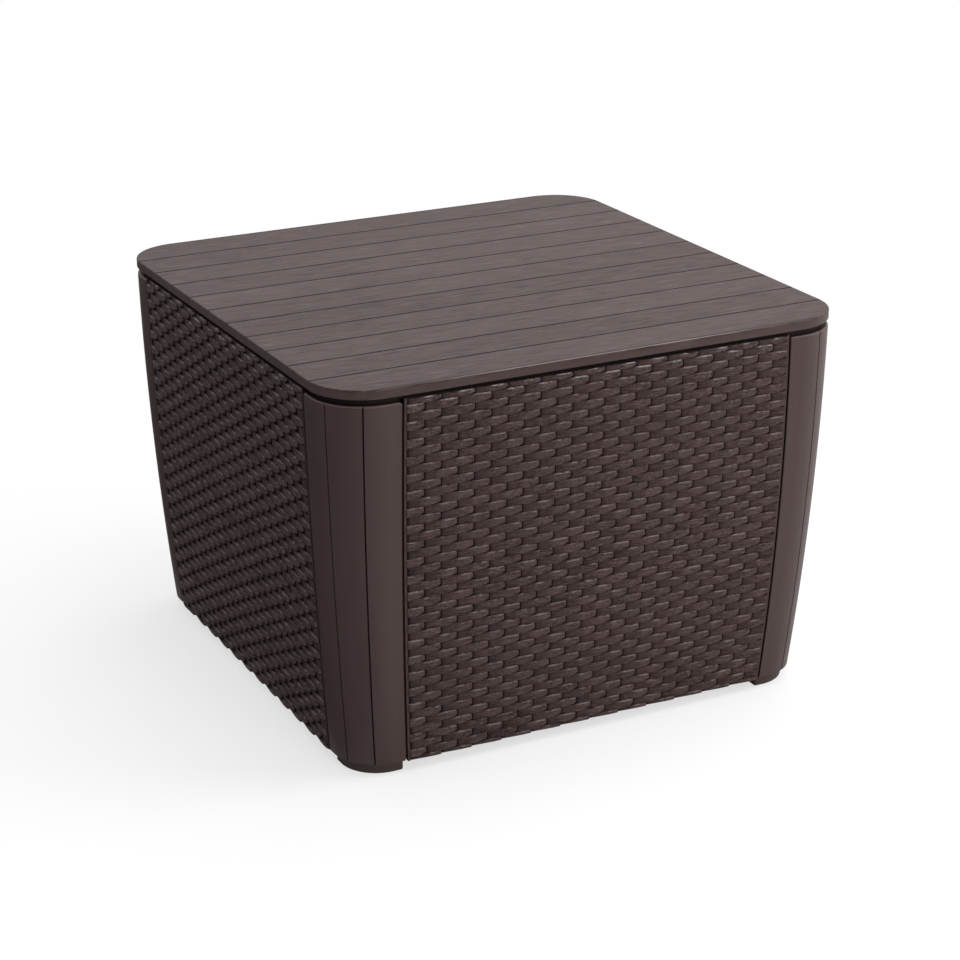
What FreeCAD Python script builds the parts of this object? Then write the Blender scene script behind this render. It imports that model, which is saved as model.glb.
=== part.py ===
import FreeCAD, Part

import math
import os

os.makedirs("parts", exist_ok=True)

# A square patio table that hides a standing gas cylinder: a plank-look lid lifts off four rattan-look
# walls that slot into four plank-look corner posts.
# The frame's origin is the middle of the table on the ground, +Z is up and the front faces -Y.

# Overall sizes
overall_height = 517.0
lid_side = 720.0

# Lid moulding
lid_corner = 72.0
lid_band = 12.0
lid_skin = 4.0
lid_top_round = 1.5
lid_under_round = 1.2
plank_count = 11
plank_end_extra = 3.6
plank_groove_width = 2.4
plank_groove_depth = 2.2

# Lid liner: the ribbed underside with the rim that drops inside the walls
liner_plate = 3.0
liner_drop = 17.0
liner_skirt_gap = 4.0
liner_rib = 3.0
liner_rib_pitch = 120.0
liner_ribs = 6
liner_pad_width = 8.0
rim_depth = 16.0
rim_thickness = 3.0
rim_gap = 3.5
seat_gap = 0.3
lid_boss_radius = 5.5
lid_boss_pitch = 240.0

# Walls: half the width across the walls follows a gentle bow from the foot to the top
wall_inset = 1.5
wall_taper = 26.0
wall_bow = 4.6
wall_corner_top = 67.4
wall_corner_bottom = 59.0
post_leg_top = 89.3
post_leg_bottom = 73.3
post_top_drop = 20.0
panel_top_drop = 16.0
panel_bottom = 15.0
foot_height = 17.0

# Corner posts
post_skin = 4.0
post_cap = 3.5
post_top_round = 3.0
post_lip_round = 1.2
post_groove_width = 2.4
post_groove_depth = 2.6
plank_angle_top = 24.0
plank_angle_bottom = 27.0
post_inner_skin = 3.7
post_inner_chamfer = 52.0
post_inner_lap = 10.0
post_boss_radius = 5.5
post_boss_gap = 0.9
foot_boss_height = 17.0
post_screw_heights = (95.0, 255.0, 415.0)

# Wall panels
seam_gap = 3.0
panel_skin = 4.5
panel_edge_lip = 3.0
weave_recess = 1.5
tongue_thickness = 3.7
tongue_side_gap = 0.3
tongue_end_gap = 3.0
panel_edge_bar = 12.0
panel_rib = 3.0
panel_rib_depth = 12.0
panel_uprights = 5
panel_crossbars = 3
ledge_seat = 13.0
ledge_thickness = 3.5
panel_screw_heights = (120.0, 270.0, 400.0)
hose_notch_width = 60.0
hose_notch_height = 45.0
hose_notch_round = 8.0
hose_notch_rim = 12.0

# Floor
floor_thickness = 3.5
floor_wall_gap = 0.7
floor_corner_gap = 10.0
cylinder_ring_radius = 125.0
cylinder_ring_height = 8.0
cylinder_ring_thickness = 4.0
vent_length = 60.0
vent_width = 8.0
vent_radius = 205.0
vent_count = 12
floor_screw_spread = 150.0

# Feet
foot_inset = 9.0
foot_width = 63.5
foot_edge_round = 2.5
foot_back_round = 3.0
foot_counterbore = 8.0

# Screws
screw_radius = 1.9
screw_head_radius = 3.8
screw_head_height = 2.2
screw_slot = 1.2
screw_hole_gap = 0.3
screw_thread_gap = 0.05
screw_bite = 8.5
post_screw_length = 17.0
ledge_screw_length = 6.0

# Fits
clear_gap = 0.3
join_depth = 1.0

# Heights and half widths that follow from the sizes above
half_lid = lid_side / 2
lid_underside = overall_height - lid_band
deck_underside = overall_height - lid_skin
post_top = overall_height - post_top_drop
panel_top = overall_height - panel_top_drop
cap_underside = post_top - post_cap
plate_bottom = overall_height - liner_drop
plate_top = plate_bottom + liner_plate
web_top = foot_height + post_cap
ledge_top = panel_bottom + ledge_thickness
ledge_width = panel_rib_depth + ledge_seat
floor_top = ledge_top + floor_thickness
tongue_near = post_skin + tongue_side_gap
tongue_far = tongue_near + tongue_thickness
clamp_near = tongue_far + tongue_side_gap
clamp_far = clamp_near + post_inner_skin


def vec(x, y, z=0.0):
    return FreeCAD.Vector(x, y, z)


def rise(z):
    """0 at the top of the feet and 1 at the top of the posts."""
    return (z - foot_height) / (post_top - foot_height)


def half_at(z):
    """Half the width across the outer faces of two opposite walls at height z."""
    t = rise(z)
    return half_lid - wall_inset - wall_taper * (1 - t) + 4 * wall_bow * t * (1 - t)


def corner_at(z):
    """Outer corner radius of a post at height z."""
    return wall_corner_bottom + (wall_corner_top - wall_corner_bottom) * rise(z)


def leg_at(z):
    """Width of a post's flat side and corner together, from the seam to the wall's edge."""
    return post_leg_bottom + (post_leg_top - post_leg_bottom) * rise(z)


def seam_at(z):
    """Distance from the middle of a wall to the middle of its seam at height z."""
    return half_at(z) - leg_at(z)


def tongue_reach_at(z):
    """How far a panel's tongue goes behind the post, measured from the seam."""
    return leg_at(z) - corner_at(z) - tongue_end_gap


def diagonal_at(z):
    """Sum of x and y on the inner face of a post's slanted inner wall."""
    return 2 * half_at(z) - 2 * clamp_far - post_inner_chamfer


def outline(start, steps, z):
    """Closed outline at height z. A step is (end,) for a straight run or (middle, end) for an arc."""
    edges = []
    here = vec(start[0], start[1], z)
    for step in steps:
        there = vec(step[-1][0], step[-1][1], z)
        if len(step) == 1:
            edges.append(Part.makeLine(here, there))
        else:
            middle = vec(step[0][0], step[0][1], z)
            edges.append(Part.Arc(here, middle, there).toShape())
        here = there
    return Part.Wire(edges)


def bowed(section, low, high):
    """Solid through one outline at each end and one halfway, which gives the walls their bow."""
    heights = (low, (low + high) / 2, high)
    return Part.makeLoft([section(z) for z in heights], True, False)


def fused(first, others):
    """One solid made of a first shape and others that meet it."""
    return first.fuse(others).removeSplitter()


def compound(shapes):
    return Part.makeCompound(shapes)


def turned(shape, quarter_turns):
    """A copy turned about the table's middle axis."""
    copy = shape.copy()
    copy.rotate(vec(0, 0, 0), vec(0, 0, 1), 90.0 * quarter_turns)
    return copy


def box(x_low, x_high, y_low, y_high, z_low, z_high):
    return Part.makeBox(x_high - x_low, y_high - y_low, z_high - z_low, vec(x_low, y_low, z_low))


def rounded_square(half, radius, z):
    """Outline of a square with rounded corners, centred on the table's axis."""
    flat = half - radius
    bend = flat + radius * math.sqrt(0.5)
    steps = [((flat, -half),),
             ((bend, -bend), (half, -flat)),
             ((half, flat),),
             ((bend, bend), (flat, half)),
             ((-flat, half),),
             ((-bend, bend), (-half, flat)),
             ((-half, -flat),),
             ((-bend, -bend), (-flat, -half))]
    return outline((-flat, -half), steps, z)


def cut_square(half, corner_sum, z):
    """Outline of a square whose corners are cut where |x| + |y| reaches corner_sum."""
    short = corner_sum - half
    points = [(short, -half), (half, -short), (half, short), (short, half),
              (-short, half), (-half, short), (-half, -short), (-short, -half)]
    return outline(points[-1], [(point,) for point in points], z)


def slab(wire, height):
    return Part.Face(wire).extrude(vec(0, 0, height))


def screw(base, direction, length):
    """Pan-head screw: base is the middle of the face its head sits on, direction is where it goes."""
    radial = FreeCAD.Vector(direction)
    radial.normalize()
    back = radial * -screw_head_height
    head = Part.makeCylinder(screw_head_radius, screw_head_height, base + back, radial)
    shank = Part.makeCylinder(screw_radius, length, base, radial)
    side = radial.cross(vec(0, 0, 1))
    if side.Length < 0.5:
        side = vec(1, 0, 0)
    side.normalize()
    slot = Part.makeBox(2 * screw_head_radius, screw_slot, screw_head_height / 2)
    slot.translate(vec(-screw_head_radius, -screw_slot / 2, -screw_head_height / 2))
    top = FreeCAD.Placement(base + back, FreeCAD.Rotation(side, radial.cross(side), radial * -1, "XZY"))
    slot.Placement = top.multiply(slot.Placement)
    return fused(head, [shank]).cut(slot)


def hole(base, direction, length, gap):
    """Round hole for a screw, starting a little before its base."""
    axis = FreeCAD.Vector(direction)
    axis.normalize()
    return Part.makeCylinder(screw_radius + gap, length + join_depth, base - axis * join_depth, axis)


def spot_face(base, direction):
    """Flat round seat for a screw head on a wall that leans."""
    axis = FreeCAD.Vector(direction)
    axis.normalize()
    return Part.makeCylinder(screw_head_radius + clear_gap, screw_head_height, base, axis * -1)


# Lid


def plank_grooves():
    """The cuts between the lid's planks, running from side to side."""
    pitch = (lid_side - 2 * plank_end_extra) / plank_count
    cuts = []
    for i in range(plank_count - 1):
        y = (i + 1 - plank_count / 2) * pitch
        wide = plank_groove_width / 2
        deep = overall_height - plank_groove_depth
        high = overall_height + plank_groove_depth
        corners = [(y - 2 * wide, high), (y, deep), (y + 2 * wide, high)]
        points = [vec(-half_lid - join_depth, a, b) for a, b in corners]
        profile = Part.Face(Part.makePolygon(points + points[:1]))
        cuts.append(profile.extrude(vec(lid_side + 2 * join_depth, 0, 0)))
    return cuts


def lid_boss_places():
    """Where the liner is screwed to the lid, as x and y pairs."""
    steps = (-1, 0, 1)
    return [(i * lid_boss_pitch, j * lid_boss_pitch) for i in steps for j in steps]


def is_level_edge(edge, z, reach):
    """True for an edge that lies wholly at height z and no nearer the axis than reach."""
    bounds = edge.BoundBox
    centre = edge.CenterOfMass
    far = max(abs(centre.x), abs(centre.y))
    return abs(bounds.ZMin - z) < 0.01 and abs(bounds.ZMax - z) < 0.01 and far > reach


def make_lid_top():
    body = slab(rounded_square(half_lid, lid_corner, lid_underside), lid_band)
    top_edges = [e for e in body.Edges if is_level_edge(e, overall_height, 0)]
    body = body.makeFillet(lid_top_round, top_edges)
    low_edges = [e for e in body.Edges if is_level_edge(e, lid_underside, 0)]
    body = body.makeFillet(lid_under_round, low_edges)
    hollow = slab(rounded_square(half_lid - lid_skin, lid_corner - lid_skin, lid_underside),
                  lid_band - lid_skin)
    body = body.cut([hollow] + plank_grooves())
    bosses = []
    pilots = []
    low = plate_top + clear_gap
    for x, y in lid_boss_places():
        tall = deck_underside - low + join_depth
        bosses.append(Part.makeCylinder(lid_boss_radius, tall, vec(x, y, low)))
        pilots.append(hole(vec(x, y, low), vec(0, 0, 1), screw_bite - liner_plate, screw_thread_gap))
    return fused(body, bosses).cut(pilots)


def make_lid_liner():
    half = half_lid - lid_skin - liner_skirt_gap
    corner = lid_corner - lid_skin - liner_skirt_gap
    plate = slab(rounded_square(half, corner, plate_bottom), liner_plate)
    rib_tall = deck_underside - clear_gap - plate_top
    inside = rounded_square(half - liner_rib, corner - liner_rib, plate_top)
    edge_wall = slab(rounded_square(half, corner, plate_top), rib_tall)
    edge_wall = edge_wall.cut(slab(inside, rib_tall))
    ribs = []
    run = half - liner_rib / 2
    for i in range(liner_ribs):
        place = (i - (liner_ribs - 1) / 2) * liner_rib_pitch
        low = place - liner_rib / 2
        high = place + liner_rib / 2
        ribs.append(box(-run, run, low, high, plate_top, plate_top + rib_tall))
        ribs.append(box(low, high, -run, run, plate_top, plate_top + rib_tall))
    body = fused(plate, [edge_wall] + ribs)
    body = fused(body, [make_seat_pads(half, corner), make_locating_rim()])
    through = liner_plate + join_depth
    up = vec(0, 0, 1)
    holes = [hole(vec(x, y, plate_bottom), up, through, screw_hole_gap) for x, y in lid_boss_places()]
    return body.cut(holes)


def make_seat_pads(half, corner):
    """Four corner ridges under the liner that rest on the post caps."""
    low = post_top + seat_gap
    tall = plate_bottom - low + join_depth
    ring = slab(rounded_square(half, corner, low), tall)
    ring = ring.cut(slab(rounded_square(half - liner_pad_width, corner - liner_pad_width, low), tall))
    clear = seam_at(post_top) + seam_gap
    ring = ring.cut(box(-clear, clear, -half_lid, half_lid, low, low + tall))
    return ring.cut(box(-half_lid, half_lid, -clear, clear, low, low + tall))


def make_locating_rim():
    """Eight-sided rim under the liner that drops inside the panels and the post halves."""
    low = plate_bottom - rim_depth
    tall = rim_depth + join_depth
    half = half_at(low) - panel_rib_depth - rim_gap
    corner_sum = diagonal_at(low) - rim_gap * math.sqrt(2)
    inner_sum = corner_sum - rim_thickness * math.sqrt(2)
    rim = slab(cut_square(half, corner_sum, low), tall)
    return rim.cut(slab(cut_square(half - rim_thickness, inner_sum, low), tall))


def make_lid_screws():
    return compound([screw(vec(x, y, plate_bottom), vec(0, 0, 1), screw_bite) for x, y in lid_boss_places()])


# Corner posts, modelled at the front left and turned to the other corners


def shell_face(z, inset):
    """Outer face of a post at height z from the front seam round to the left seam.

    Returns the start point and the steps. An inset draws the whole face in, as at the rounded top.
    """
    a = half_at(z) - inset
    r = corner_at(z) - inset
    seam = seam_at(z) + seam_gap / 2 + inset
    lip = post_lip_round
    c = a - r
    angle = plank_angle_bottom + (plank_angle_top - plank_angle_bottom) * rise(z)
    spread = math.degrees(post_groove_width / 2 / r)

    def on_arc(degrees, radius):
        return (-c + radius * math.cos(math.radians(degrees)), -c + radius * math.sin(math.radians(degrees)))

    first = 270 - angle
    second = 180 + angle
    lip_bend = lip * (1 - math.sqrt(0.5))
    steps = [((-seam - lip_bend, -a + lip_bend), (-seam - lip, -a)),
             ((-c, -a),),
             (on_arc((270 + first + spread) / 2, r), on_arc(first + spread, r)),
             (on_arc(first, r - post_groove_depth),),
             (on_arc(first - spread, r),),
             (on_arc(225, r), on_arc(second + spread, r)),
             (on_arc(second, r - post_groove_depth),),
             (on_arc(second - spread, r),),
             (on_arc((180 + second - spread) / 2, r), (-a, -c)),
             ((-a, -seam - lip),),
             ((-a + lip_bend, -seam - lip_bend), (-a + lip, -seam))]
    return (-seam, -a + lip), steps


def post_shell_outline(z):
    start, steps = shell_face(z, 0)
    a = half_at(z)
    r = corner_at(z) - post_skin
    c = a - corner_at(z)
    seam = seam_at(z) + seam_gap / 2
    bend = c + r * math.sqrt(0.5)
    steps = steps + [((-a + post_skin, -seam),),
                     ((-a + post_skin, -c),),
                     ((-bend, -bend), (-c, -a + post_skin)),
                     ((-seam, -a + post_skin),),
                     (start,)]
    return outline(start, steps, z)


def post_cap_outline(z, inset):
    """Whole section of a post out to the slanted inner wall, drawn in by inset on its outer face."""
    start, steps = shell_face(z, inset)
    inner = half_at(z) - clamp_far
    bend = inner - post_inner_chamfer
    seam = -start[0]
    steps = steps + [((-inner, -seam),),
                     ((-inner, -bend),),
                     ((-bend, -inner),),
                     ((-seam, -inner),),
                     (start,)]
    return outline(start, steps, z)


def post_cap_solid():
    """Closed top of a post with its rounded upper edge."""
    base = post_top - post_top_round
    sections = [post_cap_outline(cap_underside, 0)]
    for degrees in (0, 30, 60, 90):
        turn = math.radians(degrees)
        z = base + post_top_round * math.sin(turn)
        sections.append(post_cap_outline(z, post_top_round * (1 - math.cos(turn))))
    return Part.makeLoft(sections, True, True)


def post_floor_outline(z):
    """Section of a post inside its outer skin, out to the slanted inner wall."""
    inside = half_at(z) - post_skin / 2
    c = half_at(z) - corner_at(z)
    corner = c + (inside - c) * math.sqrt(0.5)
    inner = half_at(z) - clamp_far
    bend = inner - post_inner_chamfer
    seam = seam_at(z) + seam_gap / 2 + join_depth
    steps = [((-c, -inside),),
             ((-corner, -corner), (-inside, -c)),
             ((-inside, -seam),),
             ((-inner, -seam),),
             ((-inner, -bend),),
             ((-bend, -inner),),
             ((-seam, -inner),),
             ((-seam, -inside),)]
    return outline((-seam, -inside), steps, z)


def diagonal_point(distance, z):
    """Point on the front left diagonal at a distance from the table's axis."""
    side = -distance * math.sqrt(0.5)
    return vec(side, side, z)


def shell_distance(z):
    """Distance from the axis to the inside of a post's outer skin, along the diagonal."""
    return (half_at(z) - corner_at(z)) * math.sqrt(2) + corner_at(z) - post_skin


def clamp_distance(z):
    """Distance from the axis to the slanted inner wall's inner face, along the diagonal."""
    return diagonal_at(z) * math.sqrt(0.5)


def post_bosses():
    """Screw bosses from the outer skin towards the slanted inner wall, and their pilot holes."""
    bosses = []
    pilots = []
    outward = vec(-1, -1, 0)
    for z in post_screw_heights:
        near = clamp_distance(z) + post_inner_skin + post_boss_gap
        far = shell_distance(z) + post_skin / 2
        base = diagonal_point(near, z)
        bosses.append(Part.makeCylinder(post_boss_radius, far - near, base, outward))
        pilots.append(hole(base, outward, post_screw_length, screw_thread_gap))
    return bosses, pilots


def foot_screw_point(z):
    """Where a foot's screw goes up into the post, between its two halves."""
    near = clamp_distance(web_top) + post_inner_skin
    return diagonal_point((near + shell_distance(web_top)) / 2, z)


def make_post_outer():
    shell = bowed(post_shell_outline, foot_height, cap_underside)
    web = slab(post_floor_outline(foot_height), post_cap)
    bosses, pilots = post_bosses()
    up = vec(0, 0, 1)
    boss_base = foot_screw_point(web_top - join_depth)
    foot_boss = Part.makeCylinder(post_boss_radius, foot_boss_height, boss_base, up)
    foot_pilot = hole(foot_screw_point(foot_height), up, foot_boss_height, screw_thread_gap)
    body = fused(shell, [post_cap_solid(), web, foot_boss] + bosses)
    return body.cut(pilots + [foot_pilot])


def post_inner_outline(z):
    a = half_at(z)
    free = seam_at(z) - post_inner_lap
    inner = a - clamp_far
    bend = inner - post_inner_chamfer
    outer = a - clamp_near
    outer_bend = bend + post_inner_skin * (math.sqrt(2) - 1)
    points = [(-outer_bend, -outer), (-outer, -outer_bend), (-outer, -free), (-inner, -free),
              (-inner, -bend), (-bend, -inner), (-free, -inner), (-free, -outer)]
    return outline(points[-1], [(point,) for point in points], z)


def make_post_inner():
    body = bowed(post_inner_outline, web_top + clear_gap, cap_underside - clear_gap)
    holes = []
    for z in post_screw_heights:
        base = diagonal_point(clamp_distance(z), z)
        outward = vec(-1, -1, 0)
        holes.append(hole(base, outward, 2 * post_inner_skin, screw_hole_gap))
        holes.append(spot_face(base, outward))
    for base, direction in panel_screw_places():
        holes.append(hole(base, direction, 2 * post_inner_skin, screw_hole_gap))
        holes.append(spot_face(base, direction))
    return body.cut(holes)


def panel_screw_places():
    """Screws of the front left corner: base point and direction, for its two panel tongues."""
    places = []
    for z in panel_screw_heights:
        along = seam_at(z) + tongue_reach_at(z) / 2
        depth = half_at(z) - clamp_far
        places.append((vec(-along, -depth, z), vec(0, -1, 0)))
        places.append((vec(-depth, -along, z), vec(-1, 0, 0)))
    return places


def make_post_screws():
    shapes = []
    for turn in range(4):
        for z in post_screw_heights:
            one = screw(diagonal_point(clamp_distance(z), z), vec(-1, -1, 0), post_screw_length)
            shapes.append(turned(one, turn))
    return compound(shapes)


def make_panel_screws():
    length = clamp_far - tongue_near - clear_gap
    shapes = []
    for turn in range(4):
        for base, direction in panel_screw_places():
            shapes.append(turned(screw(base, direction, length), turn))
    return compound(shapes)


# Wall panels, modelled at the front and turned to the other sides


def panel_outline(z):
    """Section of a panel: recessed face skin between edge lips, ribs, edge bars and the two tongues."""
    edge = seam_at(z) - seam_gap / 2
    field = edge - panel_edge_lip
    reach = seam_at(z) + tongue_reach_at(z)
    bar = edge - panel_edge_bar
    points = [(-edge, 0), (-field, 0), (-field, weave_recess), (field, weave_recess), (field, 0), (edge, 0),
              (edge, tongue_near), (reach, tongue_near), (reach, tongue_far), (bar, tongue_far),
              (bar, panel_skin)]
    for i in range(panel_uprights):
        place = bar * (1 - 2 * (i + 1) / (panel_uprights + 1))
        right = place + panel_rib / 2
        left = place - panel_rib / 2
        points += [(right, panel_skin), (right, panel_rib_depth)]
        points += [(left, panel_rib_depth), (left, panel_skin)]
    points += [(-bar, panel_skin), (-bar, tongue_far), (-reach, tongue_far), (-reach, tongue_near),
               (-edge, tongue_near), (-edge, 0)]
    places = [(x, depth - half_at(z)) for x, depth in points]
    return outline(places[0], [(place,) for place in places[1:]], z)


def make_panel():
    body = bowed(panel_outline, panel_bottom, panel_top)
    ledge_half = seam_at(panel_bottom) - seam_gap / 2 - panel_edge_bar
    front = -half_at(panel_bottom) + panel_skin / 2
    back = -half_at(panel_bottom) + ledge_width
    ledge = box(-ledge_half, ledge_half, front, back, panel_bottom, ledge_top)
    bars = []
    spacing = (cap_underside - ledge_top) / (panel_crossbars + 1)
    for i in range(panel_crossbars):
        z = ledge_top + spacing * (i + 1)
        wide = seam_at(z) - seam_gap / 2 - panel_edge_bar + join_depth
        front = -half_at(z) + panel_skin / 2
        back = -half_at(z) + panel_rib_depth
        bars.append(box(-wide, wide, front, back, z - panel_rib / 2, z + panel_rib / 2))
    body = fused(body, [ledge] + bars)
    return body.cut(panel_trims())


def panel_trims():
    """What is taken off a panel: its back above the post caps, its tongue ends and the screw holes."""
    tongue_top = cap_underside - clear_gap
    trims = [box(-half_lid, half_lid, -half_at(tongue_top) + post_skin, 0, tongue_top, overall_height)]
    tongue_low = web_top + clear_gap
    edge = seam_at(panel_bottom) - seam_gap / 2
    inside = -half_at(tongue_low) + post_skin
    trims.append(box(edge, half_lid, inside, 0, 0, tongue_low))
    trims.append(box(-half_lid, -edge, inside, 0, 0, tongue_low))
    for side in (-1, 1):
        for z in panel_screw_heights:
            along = side * (seam_at(z) + tongue_reach_at(z) / 2)
            base = vec(along, -half_at(z) + tongue_far, z)
            trims.append(hole(base, vec(0, -1, 0), 2 * tongue_thickness, screw_thread_gap))
    down = vec(0, 0, -1)
    for x in (-floor_screw_spread, floor_screw_spread):
        trims.append(hole(floor_screw_point(x, ledge_top), down, 2 * ledge_thickness, screw_thread_gap))
    return trims


def make_rear_panel():
    """The front panel turned round, with a rimmed notch for the gas hose in its lower edge."""
    panel = fused(make_panel(), [hose_rim()])
    return turned(panel.cut(hose_notch()), 2)


def hose_rim_outline(z):
    wide = hose_notch_width / 2 + hose_notch_rim
    front = -half_at(z)
    back = front + panel_skin - join_depth
    corners = [(-wide, front), (wide, front), (wide, back), (-wide, back)]
    return outline(corners[-1], [(corner,) for corner in corners], z)


def hose_rim():
    """Plain raised border round the hose notch, level with the panel's edge lips."""
    top = panel_bottom + hose_notch_height + hose_notch_rim
    return bowed(hose_rim_outline, panel_bottom, top)


def hose_notch():
    """Notch with rounded upper corners through a panel's lower edge and ledge, drawn at the front."""
    back = -half_at(panel_bottom) + ledge_width + join_depth
    half = hose_notch_width / 2
    top = panel_bottom + hose_notch_height
    notch = box(-half, half, -half_lid, back, 0, top)
    boxes = [edge.BoundBox for edge in notch.Edges]
    corners = [edge for edge, bounds in zip(notch.Edges, boxes)
               if bounds.ZMin > top - join_depth and bounds.XLength < join_depth]
    return notch.makeFillet(hose_notch_round, corners)


# Floor


def floor_half():
    return half_at(ledge_top) - panel_rib_depth - floor_wall_gap


def floor_outline(z):
    return cut_square(floor_half(), diagonal_at(web_top) - floor_corner_gap * math.sqrt(2), z)


def floor_screw_point(x, z):
    """A floor screw over the front ledge."""
    inner = half_at(panel_bottom) - ledge_width
    return vec(x, -(floor_half() + inner) / 2, z)


def make_floor_panel():
    plate = slab(floor_outline(ledge_top), floor_thickness)
    centre = vec(0, 0, floor_top)
    ring = Part.makeCylinder(cylinder_ring_radius + cylinder_ring_thickness, cylinder_ring_height, centre)
    ring = ring.cut(Part.makeCylinder(cylinder_ring_radius, cylinder_ring_height, centre))
    body = fused(plate, [ring])
    cuts = []
    near = vent_radius - vent_width / 2
    far = vent_radius + vent_width / 2
    for i in range(vent_count):
        slot = box(-vent_length / 2, vent_length / 2, near, far, ledge_top, floor_top)
        slot.rotate(vec(0, 0, 0), vec(0, 0, 1), 360.0 * (i + 0.5) / vent_count)
        cuts.append(slot)
    half = hose_notch_width / 2
    edge = floor_half()
    reach = half_at(panel_bottom) - ledge_width
    cuts.append(box(-half, half, reach, edge, ledge_top, floor_top))
    for turn in range(4):
        for x in (-floor_screw_spread, floor_screw_spread):
            one = hole(floor_screw_point(x, floor_top), vec(0, 0, -1), 2 * floor_thickness, screw_hole_gap)
            cuts.append(turned(one, turn))
    return body.cut(cuts)


def make_floor_screws():
    shapes = []
    for turn in range(4):
        for x in (-floor_screw_spread, floor_screw_spread):
            one = screw(floor_screw_point(x, floor_top), vec(0, 0, -1), ledge_screw_length)
            shapes.append(turned(one, turn))
    return compound(shapes)


# Feet, modelled at the front left


def make_foot():
    a = half_at(foot_height) - foot_inset
    r = corner_at(foot_height) - foot_inset
    c = a - r
    back = a - foot_width
    bend = c + r * math.sqrt(0.5)
    steps = [((-c, -a),),
             ((-bend, -bend), (-a, -c)),
             ((-a, -back),),
             ((-back, -back),),
             ((-back, -a),)]
    body = slab(outline((-back, -a), steps, 0), foot_height)
    uprights = [e for e in body.Edges if is_back_upright(e, back)]
    body = body.makeFillet(foot_back_round, uprights)
    low = [e for e in body.Edges if e.BoundBox.ZMax < 0.01]
    body = body.makeFillet(foot_edge_round, low)
    recess = Part.makeCylinder(screw_head_radius + clear_gap, foot_counterbore, foot_screw_point(0))
    bore = Part.makeCylinder(screw_radius + screw_hole_gap, foot_height, foot_screw_point(0))
    return body.cut([recess, bore])


def is_back_upright(edge, back):
    """True for the foot's upright edges that touch either of its two inner sides."""
    bounds = edge.BoundBox
    centre = edge.CenterOfMass
    upright = bounds.ZMax - bounds.ZMin > foot_height / 2
    return upright and max(centre.x, centre.y) > -back - 0.01


def make_foot_screws():
    length = foot_height - foot_counterbore + screw_bite
    one = screw(foot_screw_point(foot_counterbore), vec(0, 0, 1), length)
    return compound([turned(one, turn) for turn in range(4)])


def export(name, shape):
    shape.exportStep("parts/" + name + ".step")
    solids = shape.Solids
    volume = sum(solid.Volume for solid in solids)
    print("%-26s solids %2d valid %s volume %.0f" % (name, len(solids), shape.isValid(), volume))


def build():
    export("lid_top", make_lid_top())
    export("lid_liner", make_lid_liner())
    export("lid_screws", make_lid_screws())
    post_outer = make_post_outer()
    post_inner = make_post_inner()
    foot = make_foot()
    corners = ("front_left", "front_right", "rear_right", "rear_left")
    for turn, corner in enumerate(corners):
        export("post_outer_" + corner, turned(post_outer, turn))
        export("post_inner_" + corner, turned(post_inner, turn))
        export("foot_" + corner, turned(foot, turn))
    panel = make_panel()
    export("panel_front", panel)
    export("panel_right", turned(panel, 1))
    export("panel_left", turned(panel, 3))
    export("panel_rear", make_rear_panel())
    export("post_screws", make_post_screws())
    export("panel_screws", make_panel_screws())
    export("floor_panel", make_floor_panel())
    export("floor_screws", make_floor_screws())
    export("foot_screws", make_foot_screws())


build()
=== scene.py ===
import math

import bpy
from mathutils import Matrix, Vector


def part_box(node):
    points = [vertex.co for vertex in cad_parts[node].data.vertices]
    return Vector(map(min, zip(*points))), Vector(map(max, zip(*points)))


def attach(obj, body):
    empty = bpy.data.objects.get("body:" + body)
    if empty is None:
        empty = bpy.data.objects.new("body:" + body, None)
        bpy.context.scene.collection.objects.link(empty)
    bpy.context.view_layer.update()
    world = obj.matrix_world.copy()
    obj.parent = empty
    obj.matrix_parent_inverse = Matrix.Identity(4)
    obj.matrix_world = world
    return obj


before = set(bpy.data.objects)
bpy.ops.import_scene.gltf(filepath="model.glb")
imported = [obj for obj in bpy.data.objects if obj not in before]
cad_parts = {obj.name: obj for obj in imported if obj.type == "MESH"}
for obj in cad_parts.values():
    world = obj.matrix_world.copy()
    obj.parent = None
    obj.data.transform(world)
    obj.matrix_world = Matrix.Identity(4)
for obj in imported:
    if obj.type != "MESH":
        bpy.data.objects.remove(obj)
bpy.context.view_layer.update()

bl_info = {
    "name": "Propane tank cover table",
    "version": (1, 0, 0),
    "blender": (4, 5, 0),
    "location": "3D View > Sidebar > Cover table",
    "description": "Rattan walls, plank lid, posts and studio of a patio table that hides a gas cylinder",
    "category": "Object",
}

SIDES = ("front", "right", "rear", "left")
CORNERS = ("front_left", "front_right", "rear_right", "rear_left")
SCREW_NODES = ("lid_screws", "post_screws", "panel_screws", "floor_screws", "foot_screws")
QUARTER_TURN = math.pi / 2
MILLIMETRE = 0.001
# How much darker the liner is than the other inside parts, as painted shade under the lid
LINER_SHADE = 0.45
TABLE_MIDDLE = (0.0, 0.0, 0.3)


# Sizes and colours


class LidShape(bpy.types.PropertyGroup):
    """The planks, grooves and edge of the lid."""

    planks: bpy.props.IntProperty(name="Planks", description="Plank strips across the lid", default=11)
    end_extra: bpy.props.FloatProperty(
        name="End extra", description="How much wider the first and the last plank are", default=0.0036,
        unit="LENGTH")
    corner: bpy.props.FloatProperty(
        name="Corner radius", description="Radius of the lid's corners, seen from above", default=0.072,
        unit="LENGTH")
    band: bpy.props.FloatProperty(
        name="Edge band", description="Height of the lid's edge", default=0.012, unit="LENGTH")
    groove_width: bpy.props.FloatProperty(
        name="Groove width", description="Width of the grooves between the planks", default=0.0024,
        unit="LENGTH")
    groove_depth: bpy.props.FloatProperty(
        name="Groove depth", description="Depth of the grooves between the planks", default=0.0022,
        unit="LENGTH")


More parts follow.
